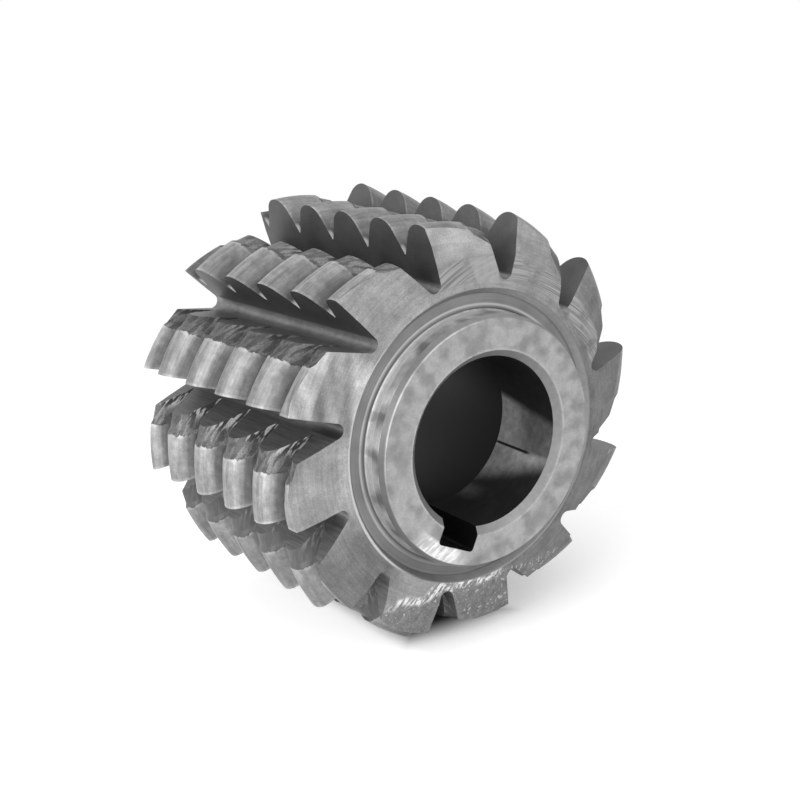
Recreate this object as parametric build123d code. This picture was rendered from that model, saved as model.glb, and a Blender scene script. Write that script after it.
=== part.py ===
from build123d import *
import os
from math import atan, cos, degrees, pi, radians, sin, tan

# Solid sprocket hob for roller chain, in millimetres.
# The arbor axis is Y, with the front hub face towards -Y, and Z is up.
# The origin is on the arbor axis, half-way along the tool.

# Overall sizes
outside_diameter = 70.0
overall_length = 54.2
toothed_length = 46.9

# Cutting teeth: one right-hand thread, cut into rows by the gashes
tooth_rows = 12
chain_pitch = 9.525
seating_radius = 3.2
flank_angle = 26.5
root_flat = 0.2
thread_phase = -1.9

# Backed-off form behind each cutting edge, with its angles measured about the arbor axis
relief_per_row = 3.75
ground_land_angle = 13.2
step_angle = 1.2
step_depth = 0.4
lead_in_share = 0.08
heel_share = 0.9

# Chip gashes, square to the thread
gash_angle = 35.0
gash_root_radius = 1.2
gash_bottom_radius = 24.8

# Hubs and end faces
hub_diameter = 40.0
hub_face_chamfer = 0.6
hub_side_chamfer = 1.1
hub_root_fillet = 0.6
ring_diameter = 45.0
ring_depth = 1.05
ring_bevel = 1.0
flat_face_diameter = 57.4
face_cone_drop = 0.5

# Front end of the teeth, bevelled off centre, starting this far from the ring at the closest
end_bevel_gap = 0.4
end_bevel_offset = 4.2
end_bevel_angle = 13.3
end_bevel_turn = 120.0

# Front end of the thread, ground back off centre so that no thin edge is left
thread_end_drop = 2.8
thread_end_offset = 2.0
thread_end_length = 3.5
thread_end_turn = -170.0

# Arbor bore with its keyway
bore_diameter = 27.0
bore_chamfer = 1.1
bore_relief_diameter = 28.4
bore_land_length = 13.9
keyway_width = 7.0
keyway_floor_radius = 17.0
keyway_corner_radius = 0.6
keyway_turn = 155.1

# How far the cutting and turned shapes run out past the surfaces that they make
run_out = 3.0

# Worked out from the sizes above
row_turn = 360.0 / tooth_rows
tip_radius = outside_diameter / 2
half_length = overall_length / 2
half_teeth = toothed_length / 2
crest_arc_half = seating_radius * cos(radians(flank_angle))
crest_arc_drop = seating_radius * (1 - sin(radians(flank_angle)))
flank_run = (chain_pitch - root_flat) / 2 - crest_arc_half
tooth_depth = crest_arc_drop + flank_run / tan(radians(flank_angle))
pitch_radius = tip_radius - tooth_depth / 2
lead_angle = degrees(atan(chain_pitch / (2 * pi * pitch_radius)))
thread_lead = chain_pitch / cos(radians(lead_angle))
gash_twist = degrees(tan(radians(lead_angle)) / pitch_radius)
row_travel = chain_pitch * cos(radians(lead_angle)) / tooth_rows
core_radius = gash_bottom_radius + gash_root_radius / 2


def turned(shape, turn, travel=0.0):
    """Turns a shape clockwise, seen from the front, and moves it back along the arbor axis."""
    return Pos(0, travel, 0) * Rot(0, turn, 0) * shape


def joined(pieces):
    """One wire from lines, arcs and polylines that follow each other."""
    return Wire([edge for piece in pieces for edge in piece.edges()])


def rack_section(turn, drop):
    """The thread's normal section in the plane of one row, at an angle behind the cutting edge."""
    tip = tip_radius - drop
    shoulder = tip - crest_arc_drop
    root = tip - tooth_depth
    floor = gash_bottom_radius - 2 * gash_root_radius
    foot_reach = (chain_pitch - root_flat) / 2
    spare_teeth = int(half_teeth / chain_pitch) + 2
    edges = []
    for number in range(-spare_teeth, spare_teeth + 1):
        middle = thread_phase + number * chain_pitch
        front_shoulder = (middle - crest_arc_half, shoulder)
        back_shoulder = (middle + crest_arc_half, shoulder)
        edges.append(Line((middle - foot_reach, root), front_shoulder))
        edges.append(ThreePointArc(front_shoulder, (middle, tip), back_shoulder))
        edges.append(Line(back_shoulder, (middle + foot_reach, root)))
        if number < spare_teeth:
            edges.append(Line((middle + foot_reach, root), (middle + foot_reach + root_flat, root)))
    front_end = thread_phase - spare_teeth * chain_pitch - foot_reach
    back_end = thread_phase + spare_teeth * chain_pitch + foot_reach
    edges.append(Polyline((back_end, root), (back_end, floor), (front_end, floor), (front_end, root)))
    lean = radians(lead_angle)
    plane = Plane(origin=(0, 0, 0), x_dir=(-sin(lean), cos(lean), 0), z_dir=(cos(lean), sin(lean), 0))
    section = plane * joined(edges)
    return turned(section, turn, thread_lead * turn / 360)


def relief(turn):
    """How far the backed-off form has dropped at an angle behind the cutting edge."""
    return relief_per_row * turn / row_turn


def tooth_row():
    """One row of teeth: the ground land, the step down and the rough heel, running into both gashes."""
    before_edge = -lead_in_share * row_turn
    land_end = ground_land_angle
    step_end = land_end + step_angle
    past_heel = heel_share * row_turn
    land_turns = [before_edge, (before_edge + land_end) / 2, land_end]
    land_sections = [rack_section(turn, relief(turn)) for turn in land_turns]
    heel_sections = [
        land_sections[-1],
        rack_section(step_end, relief(step_end) + step_depth),
        rack_section(past_heel, relief(past_heel) + step_depth),
    ]
    return Solid.make_loft(land_sections) + Solid.make_loft(heel_sections, ruled=True)


def gash_section(along):
    """A gash seen along the arbor axis: upright rake side, rounded root and sloping heel side."""
    lean = radians(gash_angle)
    top = tip_radius + run_out
    root_centre = gash_bottom_radius + gash_root_radius
    mid_root = radians((gash_angle - 180) / 2)
    rake_foot = (0, root_centre)
    root_bottom = (gash_root_radius * (cos(mid_root) - 1), root_centre + gash_root_radius * sin(mid_root))
    heel_foot = (-gash_root_radius * (1 + cos(lean)), root_centre - gash_root_radius * sin(lean))
    heel_top = (heel_foot[0] - (top - heel_foot[1]) * tan(lean), top)
    edges = [
        Line((0, top), rake_foot),
        ThreePointArc(rake_foot, root_bottom, heel_foot),
        Line(heel_foot, heel_top),
        Line(heel_top, (0, top)),
    ]
    plane = Plane(origin=(0, along, 0), x_dir=(1, 0, 0), z_dir=(0, -1, 0))
    return plane * joined(edges)


def gash():
    """The space of one gash, turning steadily along the tool so that it crosses the thread squarely."""
    reach = half_teeth + run_out
    sections = [turned(gash_section(along), -gash_twist * along) for along in (-reach, 0, reach)]
    return Solid.make_loft(sections)


def end_bevel():
    """The space ground away at the front, outside a flat cone that lies off centre."""
    inner = ring_diameter / 2 + ring_bevel + end_bevel_gap + end_bevel_offset
    outer = tip_radius + end_bevel_offset + run_out
    reach = (outer - inner) * tan(radians(end_bevel_angle))
    in_front = -half_teeth - run_out
    points = [(inner, in_front), (outer, in_front), (outer, reach - half_teeth), (inner, -half_teeth)]
    cone = revolve(make_face(Polyline(*points, close=True)), axis=Axis.Y, revolution_arc=360)
    return turned(Pos(0, 0, -end_bevel_offset) * cone, end_bevel_turn)


def thread_end():
    """The space ground away at the front, outside a cylinder that lies off centre."""
    edge_radius = tip_radius - thread_end_drop + thread_end_offset
    length = thread_end_length + run_out
    middle = half_teeth - thread_end_length + length / 2
    shift = -thread_end_offset
    outside = Cylinder(tip_radius + thread_end_offset + run_out, length)
    kept = Pos(0, shift, 0) * Cylinder(edge_radius, length)
    ring = Rot(90, 0, 0) * (outside - kept)
    return turned(ring, thread_end_turn, -middle)


def end_outline(side):
    """Outline of one end, from the hub face out to past the teeth, as edges in the X-Y plane."""
    hub = hub_diameter / 2
    ring = ring_diameter / 2
    flat = flat_face_diameter / 2
    floor = half_teeth - ring_depth
    outer = tip_radius + run_out
    cone = face_cone_drop * (outer - flat) / (tip_radius - flat)
    corner = hub_root_fillet * (1 - sin(radians(45)))
    path = [
        Line((0, half_length), (hub - hub_face_chamfer, half_length)),
        Line((hub - hub_face_chamfer, half_length), (hub, half_length - hub_side_chamfer)),
        Line((hub, half_length - hub_side_chamfer), (hub, floor + hub_root_fillet)),
        ThreePointArc((hub, floor + hub_root_fillet), (hub + corner, floor + corner), (hub + hub_root_fillet, floor)),
        Polyline((hub + hub_root_fillet, floor), (ring, floor), (ring + ring_bevel, half_teeth)),
        Polyline((ring + ring_bevel, half_teeth), (flat, half_teeth), (outer, half_teeth - cone)),
    ]
    outline = joined(path)
    return outline if side > 0 else outline.mirror(Plane.XZ)


def envelope():
    """The turned form of the whole tool: both hubs, both end faces and past the tooth tips."""
    back = end_outline(1)
    front = end_outline(-1)
    back_rim = back.vertices().sort_by(Axis.X)[-1]
    front_rim = front.vertices().sort_by(Axis.X)[-1]
    rim_line = Line(back_rim.center(), front_rim.center())
    axis_line = Line((0, -half_length), (0, half_length))
    outline = joined([back, rim_line, front, axis_line])
    return revolve(make_face(outline), axis=Axis.Y, revolution_arc=360)


def bore():
    """The arbor bore: a chamfer and a fitting land at each end, and a wider relief between the lands."""
    land = bore_diameter / 2
    wide = bore_relief_diameter / 2
    mouth = land + bore_chamfer + run_out
    slope = wide - land
    half = [
        (mouth, half_length + run_out),
        (land, half_length - bore_chamfer),
        (land, half_length - bore_land_length),
        (wide, half_length - bore_land_length - slope),
    ]
    points = half + [(radius, -along) for radius, along in reversed(half)]
    points = [(0, half_length + run_out)] + points + [(0, -half_length - run_out)]
    outline = Polyline(*points, close=True)
    return revolve(make_face(outline), axis=Axis.Y, revolution_arc=360)


def keyway():
    """The keyway, cut through both hubs, with its two floor corners rounded."""
    slot = Pos(0, 0, keyway_floor_radius / 2) * Box(keyway_width, overall_length + run_out, keyway_floor_radius)
    floor_edges = slot.edges().filter_by(Axis.Y).sort_by(Axis.Z)[-2:]
    return turned(fillet(floor_edges, keyway_corner_radius), -keyway_turn)


def hob():
    """The whole tool, cut from one blank."""
    core = Rot(90, 0, 0) * Cylinder(core_radius, overall_length)
    row = tooth_row()
    space = gash()
    first_turn = -row_turn / 2
    rows = []
    gashes = []
    for number in range(tooth_rows):
        turn = first_turn + number * row_turn
        travel = number * row_travel
        rows.append(turned(row, turn - gash_twist * travel, travel))
        gashes.append(turned(space, turn))
    blank = core.fuse(*rows) & envelope()
    return blank.cut(end_bevel(), thread_end(), *gashes, bore(), keyway())


if __name__ == "__main__":
    os.makedirs("parts", exist_ok=True)
    tool = hob()
    export_step(tool, "parts/hob.step")
    print("solids", len(tool.solids()), "volume", round(tool.volume), "faces", len(tool.faces()))
    print("box", tool.bounding_box())
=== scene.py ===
from math import atan, cos, degrees, pi, radians, sin, tan
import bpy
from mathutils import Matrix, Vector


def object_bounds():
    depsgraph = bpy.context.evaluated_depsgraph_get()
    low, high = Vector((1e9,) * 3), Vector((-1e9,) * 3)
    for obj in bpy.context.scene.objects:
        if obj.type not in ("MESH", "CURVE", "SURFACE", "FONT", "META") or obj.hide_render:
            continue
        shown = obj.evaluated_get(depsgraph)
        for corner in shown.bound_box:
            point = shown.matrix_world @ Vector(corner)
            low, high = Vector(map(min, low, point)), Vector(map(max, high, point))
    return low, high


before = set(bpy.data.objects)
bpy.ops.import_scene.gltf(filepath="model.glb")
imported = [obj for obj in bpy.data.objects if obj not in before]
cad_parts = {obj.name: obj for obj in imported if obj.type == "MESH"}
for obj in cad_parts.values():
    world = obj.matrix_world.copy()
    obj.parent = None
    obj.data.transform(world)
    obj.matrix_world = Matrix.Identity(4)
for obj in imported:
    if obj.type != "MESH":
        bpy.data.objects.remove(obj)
from types import SimpleNamespace
import bpy
from mathutils import Matrix, Vector

cad_box = [list(corner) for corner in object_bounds()]

# The hob's own sizes in millimetres and degrees, which the finishes follow.
# Angles go clockwise about the arbor axis, from the top, as seen from the front.
tip_radius = 35.0
tooth_depth = 5.38
chain_pitch = 9.525
thread_phase = -1.9
row_turn = 30.0
first_turn = -15.0
relief_per_row = 3.75
ground_land_angle = 13.2
gash_bottom_radius = 24.8
half_length = 27.1
half_teeth = 23.45
hub_radius = 20.0
ring_radius = 22.5
ring_bevel = 1.0
ring_depth = 1.05
bore_radius = 13.5
bore_land_length = 13.9
keyway_half_width = 3.5
keyway_turn = -155.1

# Worked out from the sizes above
pitch_radius = tip_radius - tooth_depth / 2
lead_angle = atan(chain_pitch / (2 * pi * pitch_radius))
thread_lead = chain_pitch / cos(lead_angle)
gash_turn_per_length = degrees(tan(lead_angle) / pitch_radius)
ring_edge = ring_radius + ring_bevel
hub_foot = half_teeth - ring_depth
bore_step = half_length - bore_land_length

# Values of the steel that are the same all over, and the depth in metres of its finest marks
steel_roughness = 0.45
steel_metallic = 0.6
dull_metallic = 0.1
mark_depth = 0.0002


class Graph:
    """Short calls that add nodes to a material or world and join them up."""

    def __init__(self, owner):
        owner.use_nodes = True
        self.tree = owner.node_tree

    def add(self, kind, inputs=(), **settings):
        node = self.tree.nodes.new(kind)
        for key, value in settings.items():
            setattr(node, key, value)
        for key, value in dict(inputs).items():
            self.feed(node.inputs[key], value)
        return node

    def feed(self, socket, value):
        if isinstance(value, bpy.types.NodeSocket):
            self.tree.links.new(value, socket)
        else:
            socket.default_value = value

    def math(self, operation, *values):
        return self.add("ShaderNodeMath", dict(enumerate(values)), operation=operation).outputs[0]

    def chain(self, operation, first, others):
        for other in others:
            first = self.math(operation, first, other)
        return first

    def plus(self, first, *others):
        return self.chain("ADD", first, others)

    def times(self, first, *others):
        return self.chain("MULTIPLY", first, others)

    def most(self, first, *others):
        return self.chain("MAXIMUM", first, others)

    def minus(self, first, second):
        return self.math("SUBTRACT", first, second)

    def absolute(self, value):
        return self.math("ABSOLUTE", value)

    def length(self, first, second):
        return self.math("SQRT", self.plus(self.times(first, first), self.times(second, second)))

    def ramp(self, value, start, end):
        """Rises smoothly from 0 at the start to 1 at the end; the start may be the larger number."""
        rising = start < end
        ends = {
            "From Min": min(start, end),
            "From Max": max(start, end),
            "To Min": 0.0 if rising else 1.0,
            "To Max": 1.0 if rising else 0.0,
        }
        node = self.add("ShaderNodeMapRange", {"Value": value, **ends}, interpolation_type="SMOOTHSTEP")
        return node.outputs[0]

    def band(self, value, low, high, edge):
        """1 between low and high, with an edge as wide as given."""
        past_low = self.ramp(value, low - edge, low + edge)
        return self.times(past_low, self.ramp(value, high + edge, high - edge))

    def mix(self, share, first, second):
        """The first value where the share is 0, and the second where it is 1."""
        return self.add("ShaderNodeMix", {0: share, 2: first, 3: second}, data_type="FLOAT").outputs[0]

    def scaled(self, tone, share, factor):
        """The tone as it is where the share is 0, and times the factor where it is 1."""
        return self.times(tone, self.mix(share, 1.0, factor))

    def noise(self, place, scale, detail, rough):
        inputs = {"Vector": place, "Scale": scale, "Detail": detail, "Roughness": rough}
        return self.add("ShaderNodeTexNoise", inputs).outputs["Fac"]

    def streaks(self, *places, detail, rough):
        """Noise over three coordinates, where a pair is a coordinate and its own frequency."""
        scaled = [self.times(*place) if isinstance(place, tuple) else place for place in places]
        joined = self.add("ShaderNodeCombineXYZ", dict(enumerate(scaled))).outputs[0]
        return self.noise(joined, scale=1.0, detail=detail, rough=rough)

    def vary(self, tone, *swings):
        """A tone that swings by each amount, as a share of itself, with a noise about one half."""
        for amount, noise in swings:
            tone = self.times(tone, self.plus(1.0, self.times(self.minus(noise, 0.5), amount)))
        return tone

    def grey(self, tone):
        return self.add("ShaderNodeCombineColor", {0: tone, 1: tone, 2: tone}).outputs[0]

    def seen_rays(self):
        """1 for the rays that show the surround: from the camera, in gloss and through glass."""
        rays = self.add("ShaderNodeLightPath").outputs
        return self.most(rays["Is Camera Ray"], rays["Is Glossy Ray"], rays["Is Transmission Ray"])


def surface_places(g):
    """Where a point lies on the hob, in millimetres and degrees, and noises that all finishes share."""
    p = SimpleNamespace()
    place = g.add("ShaderNodeTexCoord").outputs["Object"]
    p.at = g.add("ShaderNodeVectorMath", {0: place, "Scale": 1000.0}, operation="SCALE").outputs[0]
    p.x, p.y, p.z = g.add("ShaderNodeSeparateXYZ", {0: p.at}).outputs
    p.radius = g.length(p.x, p.z)
    p.angle = g.times(g.math("ARCTAN2", p.x, p.z), degrees(1))
    p.depth = g.absolute(p.y)
    # Which way the surface faces: along the axis, to the front, and onward (1) or back (-1) round the axis
    true_normal = g.add("ShaderNodeNewGeometry").outputs["True Normal"]
    facing_x, facing_y, facing_z = g.add("ShaderNodeSeparateXYZ", {0: true_normal}).outputs
    p.ends = g.absolute(facing_y)
    p.front = g.ramp(facing_y, -0.6, -0.85)
    p.sideways = g.math("DIVIDE", g.minus(g.times(facing_x, p.z), g.times(facing_z, p.x)), p.radius)
    # Degrees behind the row's cutting edge
    behind = g.plus(p.angle, g.times(p.y, gash_turn_per_length), 360.0 - first_turn)
    p.behind = g.math("WRAP", behind, row_turn, 0.0)
    # Square to the thread in pitches: turns counts from the middle tooth, across from the nearest crest
    thread_travel = g.times(g.plus(p.angle, -first_turn), thread_lead / 360)
    along = g.minus(g.times(p.y, cos(lead_angle) ** 2), thread_travel)
    p.turns = g.plus(g.times(along, 1 / (chain_pitch * cos(lead_angle))), -thread_phase / chain_pitch)
    p.across = g.math("WRAP", p.turns, 0.5, -0.5)
    p.off_crest = g.absolute(p.across)
    # Millimetres below the relieved crest
    relieved_radius = g.minus(tip_radius, g.times(p.behind, relief_per_row / row_turn))
    p.under = g.minus(relieved_radius, p.radius)
    p.cloud = g.noise(p.at, scale=0.22, detail=3.0, rough=0.55)
    p.spots = g.noise(p.at, scale=0.9, detail=3.0, rough=0.6)
    p.grain = g.noise(p.at, scale=5.0, detail=2.0, rough=0.6)
    return p


def land_tone(g, p):
    """Ground lands: the wheel's streaks run back along the relief, and the thread's roots carry painted
    shade.
    """
    fine = g.streaks((p.across, 30.0), (p.angle, 0.06), (p.turns, 0.3), detail=4.0, rough=0.65)
    wide = g.streaks((p.across, 8.0), (p.angle, 0.10), (p.turns, 0.9), detail=2.0, rough=0.5)
    # The thread's roots are painted darker than the crests, as painted shade
    crest_tone, root_shade_tone, spot_tone, notch_tone = 0.25, 0.09, 0.40, 0.55
    tone = g.mix(g.ramp(p.off_crest, 0.26, 0.47), crest_tone, root_shade_tone)
    tone = g.vary(tone, (1.1, fine), (1.1, wide), (1.0, p.spots), (0.5, p.grain))
    # A painted highlight brightens the crests towards the end of the land, and its last strip is lighter
    # in spots
    crest_highlight = g.times(g.ramp(p.behind, 6.0, 12.5), g.ramp(p.off_crest, 0.40, 0.15))
    tone = g.scaled(tone, crest_highlight, 1.25)
    last_strip = g.ramp(p.behind, ground_land_angle - 1.2, ground_land_angle - 0.5)
    last_strip_spots = g.times(last_strip, g.ramp(p.under, 3.0, 0.8), g.ramp(p.spots, 0.40, 0.55))
    tone = g.mix(last_strip_spots, tone, spot_tone)
    # The rows, counted anticlockwise from the top, differ by painted light and shade; on the fourth the
    # front flanks get painted shade, and on the second the front flanks get painted shade and the rest a
    # painted highlight
    up_to_third = g.ramp(p.angle, -80.0, -77.0)
    tone = g.times(tone, g.mix(up_to_third, 1.05, 0.90))
    up_to_second = g.ramp(p.angle, -50.0, -47.0)
    tone = g.scaled(tone, up_to_second, 0.84)
    fourth_front_flank = g.times(g.ramp(p.across, -0.22, -0.36), g.band(p.angle, -110.0, -86.0, edge=1.0))
    tone = g.scaled(tone, fourth_front_flank, 0.60)
    second_row = g.band(p.angle, -52.0, -27.0, edge=1.0)
    tone = g.scaled(tone, second_row, g.mix(g.ramp(p.across, -0.02, -0.22), 1.35, 0.66))
    from_fifth = g.ramp(p.angle, -115.0, -117.0)
    tone = g.scaled(tone, from_fifth, 0.85)
    # Cutting edges catch the light, most of all at the foot of each tooth
    cutting_edge = g.ramp(p.behind, 0.9, 0.3)
    tone = g.scaled(tone, cutting_edge, 1.35)
    notch = g.times(g.ramp(p.off_crest, 0.40, 0.45), g.ramp(p.behind, 1.8, 0.6))
    return g.mix(notch, tone, notch_tone), fine


def heel_tone(g, p):
    """Rough heels: torn, slanting marks that darken on the tail of the flanks, painted light and shade
    that differs by row, and plainer low rows.
    """
    profile = g.plus(g.times(p.off_crest, chain_pitch), p.under)
    run = g.times(p.behind, pi * tip_radius / 180)
    slant = g.minus(g.times(profile, 1.05), g.times(run, 0.60))
    torn = g.streaks(slant, (run, 0.40), p.turns, detail=2.0, rough=0.5)
    tail = g.times(g.ramp(p.off_crest, 0.20, 0.32), g.ramp(p.behind, 17.0, 19.5))
    # Painted light and shade by row: past the third row the tails get lighter raised marks
    up_to_third = g.ramp(p.angle, -78.0, -74.0)
    hollow_tone = g.mix(tail, 0.075, 0.035)
    raised_tone = g.mix(tail, 0.145, g.mix(up_to_third, 0.42, 0.17))
    tone = g.mix(g.ramp(torn, 0.45, 0.55), hollow_tone, raised_tone)
    tone = g.vary(tone, (1.6, p.grain), (0.8, p.spots))
    # Painted shade darkens the third row
    third_row = g.band(p.angle, -63.0, -45.0, edge=1.5)
    tone = g.scaled(tone, third_row, 0.74)
    low_rows = g.most(g.ramp(p.angle, -102.0, -107.0), g.ramp(p.angle, 15.0, 25.0))
    plain_share, plain_tone = 0.75, 0.10
    return g.mix(low_rows, tone, g.mix(plain_share, tone, plain_tone)), torn


def gash_tone(g, p):
    """Gashes: a smooth dark back with fine lines, and a lighter rounded bottom."""
    lines = g.streaks((p.radius, 2.6), (p.y, 0.12), 0.0, detail=3.0, rough=0.7)
    back_tone = 0.135
    back = g.vary(back_tone, (1.8, lines))
    brushed = g.streaks((p.x, 1.2), (p.y, 0.12), (p.z, 1.2), detail=3.0, rough=0.6)
    shaded_end = g.times(g.ramp(p.y, -12.0, -20.0), g.band(p.angle, -86.0, -70.0, edge=3.0))
    bottom_tone = 0.20
    shaded_tone = g.mix(g.ramp(p.behind, 27.0, 28.0), 0.05, 0.14)
    bottom = g.mix(shaded_end, bottom_tone, shaded_tone)
    bottom = g.vary(bottom, (1.2, brushed), (0.9, p.spots))
    at_bottom = g.ramp(p.radius, gash_bottom_radius + 1.3, gash_bottom_radius + 0.7)
    return g.mix(at_bottom, back, bottom)


def rake_tone(g, p):
    """Rake faces: painted shade and a painted dark reflection of the gashes, darkest on the left."""
    # Painted shade and dark reflection, lighter on the right and darkest on the left
    right = g.mix(g.ramp(p.angle, 25.0, 35.0), 0.106, 0.086)
    tone = g.mix(g.ramp(p.angle, 5.0, 10.0), 0.085, right)
    left = g.band(p.angle, -100.0, -27.0, edge=3.0)
    left_tone = 0.062
    tone = g.mix(left, tone, left_tone)
    return g.vary(tone, (1.0, p.cloud), (0.8, p.grain))


def end_tone(g, p):
    """End faces: ground in arcs, with painted shade darkening them towards the right, and bands and a
    bright rim on the left.
    """
    arcs = g.streaks((p.radius, 2.2), (p.angle, 0.05), 0.0, detail=4.0, rough=0.6)
    # Painted shade darkens the end faces towards the right
    rightward_shade = g.ramp(g.plus(p.x, g.times(p.z, -0.5)), -5.0, 25.0)
    left_tone, shaded_right_tone = 0.28, 0.155
    tone = g.mix(rightward_shade, left_tone, shaded_right_tone)
    bands = g.streaks((p.x, 0.45), 7.0, (p.z, 0.05), detail=0.0, rough=0.5)
    left = g.times(g.band(p.angle, -77.0, -50.0, edge=3.0), p.front)
    tone = g.scaled(tone, left, g.times(bands, 2.6))
    left_rim = g.times(left, g.ramp(p.radius, 30.3, 31.2))
    tone = g.scaled(tone, left_rim, 1.65)
    low_left = g.times(g.band(p.angle, -139.0, -113.0, edge=6.0), p.front)
    tone = g.scaled(tone, low_left, 0.58)
    near_ring = g.ramp(p.radius, 26.0, ring_edge + 0.3)
    beside_ring = g.times(near_ring, g.band(p.angle, -108.0, -20.0, edge=12.0), p.front)
    tone = g.scaled(tone, beside_ring, 1.30)
    tone = g.vary(tone, (0.8, arcs), (1.1, p.cloud), (0.9, p.grain), (0.5, p.spots))
    return low_front_tone(g, p, hatched_tone(g, p, tone))


def hatched_tone(g, p, tone):
    """Top of the front face: hatching that runs on to the right, a light patch in it, and a light rim."""
    slope = g.mix(g.ramp(p.angle, 11.0, 13.0), 0.17, g.mix(g.ramp(p.angle, 41.0, 43.0), 0.04, 0.12))
    hatch_line = g.minus(p.radius, g.times(p.angle, slope))
    hatch = g.streaks((hatch_line, 4.0), (p.angle, 0.03), 3.0, detail=1.0, rough=0.5)
    hatch = g.ramp(hatch, 0.36, 0.64)
    zone = g.times(g.band(p.angle, -16.0, 72.0, edge=3.0), g.band(p.radius, 24.8, 28.3, edge=0.4))
    zone = g.times(zone, p.front, g.ramp(p.cloud, 0.36, 0.52))
    hollow_tone, raised_tone, rim_tone, patch_tone = 0.18, 0.36, 0.34, 0.36
    tone = g.mix(zone, tone, g.mix(hatch, hollow_tone, raised_tone))
    rim = g.times(g.ramp(p.radius, 28.4, 28.8), p.front, g.band(p.angle, -14.0, 14.0, edge=2.0))
    tone = g.mix(g.times(rim, 0.7), tone, g.vary(rim_tone, (1.4, p.cloud), (0.8, p.grain)))
    patch_side = g.plus(p.angle, g.times(g.minus(p.radius, 26.0), 0.9))
    patch = g.times(g.ramp(patch_side, 0.2, 1.2), g.ramp(p.angle, 12.0, 11.0), p.front)
    patch = g.times(patch, g.band(p.radius, 24.3, 28.3, edge=0.7))
    return g.mix(g.times(patch, 0.7), tone, g.vary(patch_tone, (0.6, p.spots)))


def low_front_tone(g, p, tone):
    """Bottom of the front face: a darker speckled zone, with a bright streaky ridge along its upper edge.
    """
    wave = g.times(g.minus(g.noise(p.at, scale=0.30, detail=1.0, rough=0.5), 0.5), 3.0)
    top_height, step_on_left = -23.1, -0.8
    zone_top = g.plus(top_height, g.times(g.ramp(p.x, -6.0, -10.0), step_on_left))
    below_top = g.minus(zone_top, p.z)
    off_ring = g.minus(p.radius, ring_edge + 0.3)
    inside_zone = g.plus(g.math("MINIMUM", below_top, off_ring), wave)
    zone = g.times(g.ramp(inside_zone, -0.2, 0.5), g.band(p.x, -20.0, 22.0, edge=2.0), p.front)
    # Specks crowd near the ridge and along the outer edge of the flat face
    outer_edge = g.times(g.band(p.radius, 28.3, 29.5, edge=0.4), g.band(p.x, -2.5, 6.5, edge=1.0))
    crowding = g.most(g.ramp(inside_zone, 5.0, 0.5), outer_edge)
    dots = g.noise(p.at, scale=1.7, detail=1.0, rough=0.5)
    dots = g.plus(dots, g.times(crowding, 0.07), g.times(outer_edge, 0.10))
    specks = g.ramp(dots, 0.66, 0.77)
    ground_tone, speck_tone, ridge_tone = 0.18, 0.46, 0.75
    speckled = g.mix(specks, g.vary(ground_tone, (1.4, p.spots), (1.6, p.grain)), speck_tone)
    tone = g.mix(g.times(zone, 0.9), tone, speckled)
    slant = g.minus(g.times(p.z, 1.25), g.times(p.x, 1.05))
    drift = g.plus(g.times(p.x, 0.40), g.times(p.z, 0.35))
    streaks = g.streaks(drift, 0.0, slant, detail=3.0, rough=0.7)
    ridge = g.times(g.ramp(g.absolute(inside_zone), 1.2, 0.3), g.band(p.x, -17.0, 4.5, edge=2.0), p.front)
    return g.mix(g.times(ridge, g.ramp(streaks, 0.44, 0.58)), tone, ridge_tone)


def ring_tone(g, p, turned):
    """Ring recess: turned lines, a painted highlight line and a painted shade line round the hub's foot,
    and a bevelled rim with painted light on the left.
    """
    low = g.ramp(p.z, -10.0, -17.0)
    floor_tone, shade_line_tone = 0.24, 0.09
    ring = g.vary(floor_tone, (0.8, turned), (0.6, p.cloud))
    ring = g.scaled(ring, low, 0.62)
    # Painted highlight on the fillet round the hub's foot, dimmer low down
    highlight_line = g.band(p.radius, 20.65, 21.0, edge=0.10)
    ring = g.mix(highlight_line, ring, g.mix(low, 0.50, 0.22))
    # Painted shade in the corner at the hub's foot
    shade_line = g.band(p.radius, 20.14, 20.42, edge=0.08)
    ring = g.mix(shade_line, ring, shade_line_tone)
    right = g.band(p.angle, 12.0, 115.0, edge=15.0)
    ring = g.scaled(ring, right, 0.82)
    bevel = g.ramp(p.radius, ring_radius + 0.02, ring_radius + 0.12)
    # Painted light brightens the bevel a little on the right, and the bevel and its outer corner most on
    # the left, where the bevel narrows towards the bottom
    light_start = g.mix(g.ramp(p.angle, -110.0, -145.0), ring_radius + 0.2, ring_radius + 0.6)
    bevel_light = g.ramp(g.minus(p.radius, light_start), 0.0, 0.25)
    left = g.times(g.band(p.angle, -145.0, -40.0, edge=13.0), bevel_light)
    bevel_tone = g.mix(left, g.mix(right, 0.26, 0.44), 0.90)
    ring = g.mix(bevel, ring, g.vary(bevel_tone, (0.5, p.spots)))
    corner = g.ramp(p.radius, ring_radius + 0.82, ring_radius + 0.92)
    return g.mix(corner, ring, g.mix(left, 0.38, 0.90)), bevel, left


def hub_side_tone(g, p, turned):
    """Hub side: bright at its foot, with light and dark blotches."""
    foot_tone, middle_tone, top_tone, light_blotch_tone = 0.60, 0.42, 0.23, 0.52
    side = g.mix(g.ramp(p.depth, hub_foot + 0.8, hub_foot + 1.1), foot_tone, middle_tone)
    side = g.mix(g.ramp(p.depth, hub_foot + 1.6, hub_foot + 2.2), side, top_tone)
    blotch = g.streaks((p.angle, 0.11), (p.depth, 0.16), 0.0, detail=1.5, rough=0.45)
    side = g.mix(g.times(g.ramp(blotch, 0.42, 0.64), 0.8), side, light_blotch_tone)
    side = g.scaled(side, g.ramp(blotch, 0.46, 0.34), 0.66)
    # Painted light brightens the hub side on the left
    left = g.band(p.angle, -100.0, -40.0, edge=10.0)
    side = g.scaled(side, left, 1.25)
    return g.vary(side, (0.9, turned), (0.6, p.spots))


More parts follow.
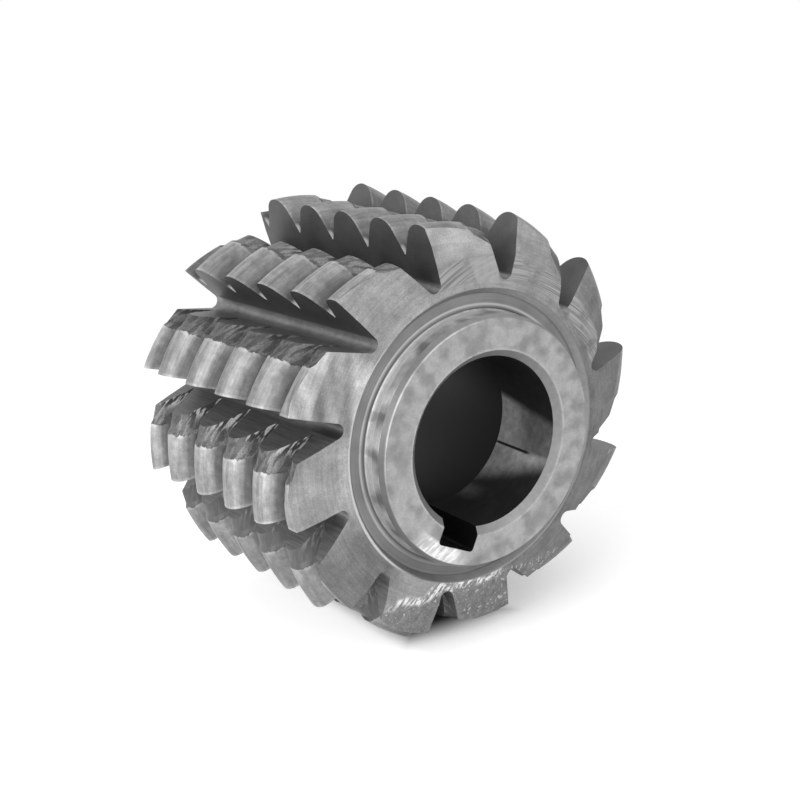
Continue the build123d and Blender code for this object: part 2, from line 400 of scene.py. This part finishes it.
def hub_face_tone(g, p):
    """Hub face: mottled, lighter round the bore, and streaky with a painted highlight in a patch at the
    lower left.
    """
    mottle = g.noise(p.at, scale=0.36, detail=1.5, rough=0.4)
    dark_tone, light_tone, rim_tone = 0.24, 0.36, 0.42
    face = g.mix(g.ramp(mottle, 0.30, 0.62), dark_tone, light_tone)
    face = g.vary(face, (0.4, p.grain), (0.5, p.spots))
    round_bore = g.ramp(p.radius, bore_radius + 1.5, bore_radius + 1.2)
    face = g.mix(g.times(round_bore, g.ramp(p.spots, 0.3, 0.6)), face, rim_tone)
    # Streaks in a patch at the lower left, brightened by a painted highlight
    slant = g.minus(g.times(p.z, 1.3), g.times(p.x, 0.7))
    drift = g.plus(g.times(p.x, 0.3), g.times(p.z, 0.15))
    highlight_streaks = g.streaks(drift, 0.0, slant, detail=3.0, rough=0.6)
    patch = g.times(g.band(p.angle, -159.0, -133.0, edge=6.0), g.ramp(p.radius, 16.6, 17.3), p.front)
    highlight_dark_tone, highlight_light_tone = 0.52, 0.88
    return g.mix(patch, face, g.mix(g.ramp(highlight_streaks, 0.38, 0.62), highlight_dark_tone, highlight_light_tone))


def ring_and_hub_tone(g, p, tone):
    """Ring recess, hub side, chamfers and hub face, over the tone of what lies outside them."""
    turned = g.streaks((p.radius, 5.0), (p.depth, 5.0), (p.angle, 0.01), detail=3.0, rough=0.6)
    inside = g.ramp(p.radius, ring_edge + 0.1, ring_edge - 0.1)
    inside = g.most(inside, g.ramp(p.depth, half_teeth + 0.02, half_teeth + 0.08))
    hub, bevel, left = ring_tone(g, p, turned)
    near_hub = g.ramp(p.radius, hub_radius + 0.35, hub_radius + 0.15)
    on_side = g.times(near_hub, g.ramp(p.depth, hub_foot + 0.15, hub_foot + 0.35))
    hub = g.mix(on_side, hub, hub_side_tone(g, p, turned))
    on_chamfer = g.ramp(p.depth, half_length - 1.15, half_length - 1.05)
    lit_side = g.band(p.angle, -150.0, -5.0, edge=20.0)
    chamfer_tone, lit_chamfer_tone = 0.26, 0.12
    hub = g.mix(on_chamfer, hub, g.vary(g.mix(lit_side, chamfer_tone, lit_chamfer_tone), (0.5, p.spots)))
    tone = g.mix(inside, tone, hub)
    off_bore = g.ramp(p.radius, bore_radius + 0.8, bore_radius + 1.1)
    on_face = g.times(g.ramp(p.depth, half_length - 0.35, half_length - 0.1), off_bore)
    tone = g.mix(on_face, tone, hub_face_tone(g, p))
    dull = g.times(inside, bevel, left, g.ramp(p.radius, ring_edge + 0.1, ring_edge))
    return tone, dull


def bore_tone(g, p):
    """The bore: a relief and lands in painted shade, painted pools of light on the lands, and a plain
    chamfer.
    """
    # The lands and the relief inside the bore are painted dark, as painted shade
    land_shade_tone, relief_shade_tone, chamfer_tone, scratch_tone = 0.026, 0.016, 0.22, 0.02
    # The painted pool of light on the land starts and ends on slanting lines, and dims towards the mouth
    from_step = g.plus(p.y, bore_step)
    lit_start = g.plus(g.times(from_step, -0.82), 80.0)
    lit_end = g.plus(g.times(from_step, 1.80), 144.0)
    started = g.ramp(g.minus(p.angle, lit_start), -3.0, 5.0)
    lit_patch = g.times(started, g.ramp(g.minus(p.angle, lit_end), 7.0, -10.0))
    low_patch = g.times(g.band(p.angle, 152.0, 163.0, edge=5.0), g.ramp(p.y, -19.0, -14.0))
    lit_patch = g.most(lit_patch, g.times(low_patch, 0.3))
    lit_tone = g.mix(g.ramp(p.angle, 118.0, 128.0), 0.60, 0.48)
    dim = g.times(g.ramp(p.y, -15.0, -21.0), g.ramp(p.angle, 118.0, 113.0))
    lit_tone = g.mix(dim, lit_tone, 0.21)
    tone = g.mix(lit_patch, land_shade_tone, lit_tone)
    tone = g.vary(tone, (1.2, p.spots), (0.8, p.cloud))
    scratch = g.times(g.band(p.angle, 114.6, 116.5, edge=0.4), g.band(p.y, -21.5, -13.0, edge=0.8))
    tone = g.mix(scratch, tone, scratch_tone)
    # Between the lands, the relief is painted shade
    land_radius = g.ramp(p.radius, bore_radius + 0.08, bore_radius + 0.03)
    on_land = g.times(g.ramp(p.depth, bore_step - 0.1, bore_step + 0.1), land_radius)
    tone = g.mix(on_land, relief_shade_tone, tone)
    on_chamfer = g.ramp(p.ends, 0.4, 0.6)
    return g.mix(on_chamfer, tone, g.vary(chamfer_tone, (0.5, p.spots)))


def in_keyway(g, p):
    """1 on the sides and floor of the keyway."""
    turn_sine, turn_cosine = sin(radians(keyway_turn)), cos(radians(keyway_turn))
    from_middle = g.absolute(g.minus(g.times(p.x, turn_cosine), g.times(p.z, turn_sine)))
    ahead = g.plus(g.times(p.x, turn_sine), g.times(p.z, turn_cosine))
    between_sides = g.ramp(from_middle, keyway_half_width + 0.08, keyway_half_width + 0.02)
    return g.times(between_sides, g.ramp(ahead, 12.6, 12.9), g.ramp(p.ends, 0.3, 0.1))


def steel():
    """The bare steel of the hob, with a finish for each way in which a surface was made."""
    material = bpy.data.materials.new("tool_steel")
    g = Graph(material)
    p = surface_places(g)
    # Lands and heels of the thread; the land ends on a ragged line
    near_bottom = g.ramp(p.radius, gash_bottom_radius + 1.6, gash_bottom_radius + 1.2)
    in_gash = g.times(g.ramp(p.behind, 24.3, 24.8), near_bottom)
    on_thread = g.times(g.band(p.sideways, -0.5, 0.74, edge=0.03), g.minus(1.0, in_gash))
    ragged = g.plus(g.times(g.minus(p.spots, 0.5), 2.2), g.times(g.minus(p.grain, 0.5), 0.8))
    land_end = g.plus(ground_land_angle - 0.25, ragged)
    past_land = g.ramp(g.minus(p.behind, land_end), -0.12, 0.12)
    ground, fine = land_tone(g, p)
    rough, torn = heel_tone(g, p)
    tone = g.mix(on_thread, gash_tone(g, p), g.mix(past_land, ground, rough))
    # Rake faces, end faces, ring and hub, and the bore with its keyway, each over the ones before
    above_bottom = g.ramp(p.radius, gash_bottom_radius + 0.7, gash_bottom_radius + 1.3)
    on_rake = g.times(g.ramp(p.sideways, -0.6, -0.8), above_bottom)
    tone = g.mix(on_rake, tone, rake_tone(g, p))
    on_end = g.times(g.ramp(p.ends, 0.90, 0.96), g.ramp(p.radius, ring_radius, ring_radius + 0.4))
    tone = g.mix(on_end, tone, end_tone(g, p))
    tone, dull = ring_and_hub_tone(g, p, tone)
    in_bore = g.ramp(p.radius, bore_radius + 1.2, bore_radius + 0.9)
    tone = g.mix(in_bore, tone, bore_tone(g, p))
    # Painted shade: the keyway is near black
    keyway_shade_tone = 0.004
    tone = g.mix(in_keyway(g, p), tone, keyway_shade_tone)
    # Fine streaks on the lands and torn marks on the heels, kept off the ends and the gash bottoms
    land_height = g.times(fine, g.minus(1.0, past_land), 0.5)
    height = g.plus(land_height, g.times(torn, past_land))
    off_ends = g.minus(1.0, g.ramp(p.ends, 0.80, 0.90))
    clear = g.times(off_ends, g.ramp(p.radius, gash_bottom_radius + 0.2, gash_bottom_radius + 0.6))
    height = g.times(height, on_thread, clear)
    bump = g.add("ShaderNodeBump", {"Height": height, "Strength": 0.4, "Distance": mark_depth})
    sockets = g.tree.nodes["Principled BSDF"].inputs
    sockets["Roughness"].default_value = steel_roughness
    g.feed(sockets["Base Color"], g.grey(tone))
    g.feed(sockets["Metallic"], g.mix(dull, steel_metallic, dull_metallic))
    g.feed(sockets["Normal"], bump.outputs[0])
    return material


def floor():
    """A white floor that keeps the shadow near the hob, and is plain white further out, in metres."""
    bpy.ops.mesh.primitive_plane_add(size=6, location=(0, 0, cad_box[0][2]))
    ground = bpy.context.object
    ground.name = "floor"
    material = bpy.data.materials.new("floor")
    g = Graph(material)
    g.tree.nodes.remove(g.tree.nodes["Principled BSDF"])
    place = g.add("ShaderNodeTexCoord").outputs["Object"]
    across, along = g.add("ShaderNodeSeparateXYZ", {0: place}).outputs[:2]
    shadow_reach, plain_from = 0.10, 0.30
    far = g.ramp(g.length(across, along), shadow_reach, plain_from)
    # The floor carries a painted shadow in a strip under the hob, and round it a glow on seen rays lifts
    # it, most on the left
    strip_half_width, strip_half_length = 0.0065, 0.0140
    past_side = g.minus(g.absolute(across), strip_half_width)
    past_end = g.minus(g.absolute(along), strip_half_length)
    clear = g.ramp(g.most(past_side, past_end), -0.001, 0.0065)
    left = g.ramp(across, -0.0085, -0.0135)
    seen = g.seen_rays()
    painted_shadow_tone, floor_tone = 0.12, 0.8
    paint = g.add("ShaderNodeBsdfDiffuse", {"Color": g.grey(g.mix(clear, painted_shadow_tone, floor_tone))})
    lift_all_round, lift_on_left = 0.36, 0.24
    strength = g.times(seen, clear, g.plus(lift_all_round, g.times(left, lift_on_left)))
    white = (1, 1, 1, 1)
    lift = g.add("ShaderNodeEmission", {"Color": white, "Strength": strength})
    near = g.add("ShaderNodeAddShader", {0: paint.outputs[0], 1: lift.outputs[0]})
    plain = g.add("ShaderNodeEmission", {"Color": white, "Strength": 1.0})
    both = g.add("ShaderNodeMixShader", {0: g.times(far, seen), 1: near.outputs[0], 2: plain.outputs[0]})
    g.feed(g.tree.nodes["Material Output"].inputs["Surface"], both.outputs[0])
    ground.data.materials.append(material)


def surround():
    """White all round for the camera and in reflections, and a soft light from all sides."""
    world = bpy.data.worlds.new("studio")
    bpy.context.scene.world = world
    g = Graph(world)
    soft_light, white = 0.40, 1.0
    level = g.add("ShaderNodeMapRange", {"Value": g.seen_rays(), "To Min": soft_light, "To Max": white})
    back = g.tree.nodes["Background"]
    back.inputs["Color"].default_value = (1, 1, 1, 1)
    g.feed(back.inputs["Strength"], level.outputs[0])


def lamp(name, place, size, power):
    """A square soft lamp that shines at the middle of the hob."""
    data = bpy.data.lights.new(name, "AREA")
    data.shape = "SQUARE"
    data.size = size
    data.energy = power
    light = bpy.data.objects.new(name, data)
    middle = Vector((0, 0, 0))
    light.location = place
    light.rotation_euler = (middle - Vector(place)).to_track_quat("-Z", "Y").to_euler()
    bpy.context.collection.objects.link(light)


def camera():
    """The photograph's camera, fitted to the hob's outline and circles."""
    data = bpy.data.cameras.new("camera")
    data.sensor_width = 36
    data.lens = 67.676
    data.clip_start = 0.01
    data.clip_end = 20
    eye = bpy.data.objects.new("camera", data)
    place = Vector((-0.13413, -0.19917, 0.07399))
    right = Vector((0.81881, -0.57300, -0.03491))
    up = Vector((0.19496, 0.22036, 0.95574))
    back = right.cross(up)
    turn = Matrix((right, up, back)).transposed().to_4x4()
    eye.matrix_world = Matrix.Translation(place) @ turn
    bpy.context.collection.objects.link(eye)
    bpy.context.scene.camera = eye


hob_steel = steel()
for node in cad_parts.values():
    node.data.materials.clear()
    node.data.materials.append(hob_steel)
floor()
surround()
lamp("key", place=(-0.50, -0.12, 0.18), size=0.50, power=2.8)
lamp("top", place=(0.00, -0.10, 0.60), size=0.50, power=1.5)
lamp("front", place=(0.15, -0.55, 0.34), size=0.60, power=1.5)
camera()
bpy.context.scene.view_settings.view_transform = "Standard"
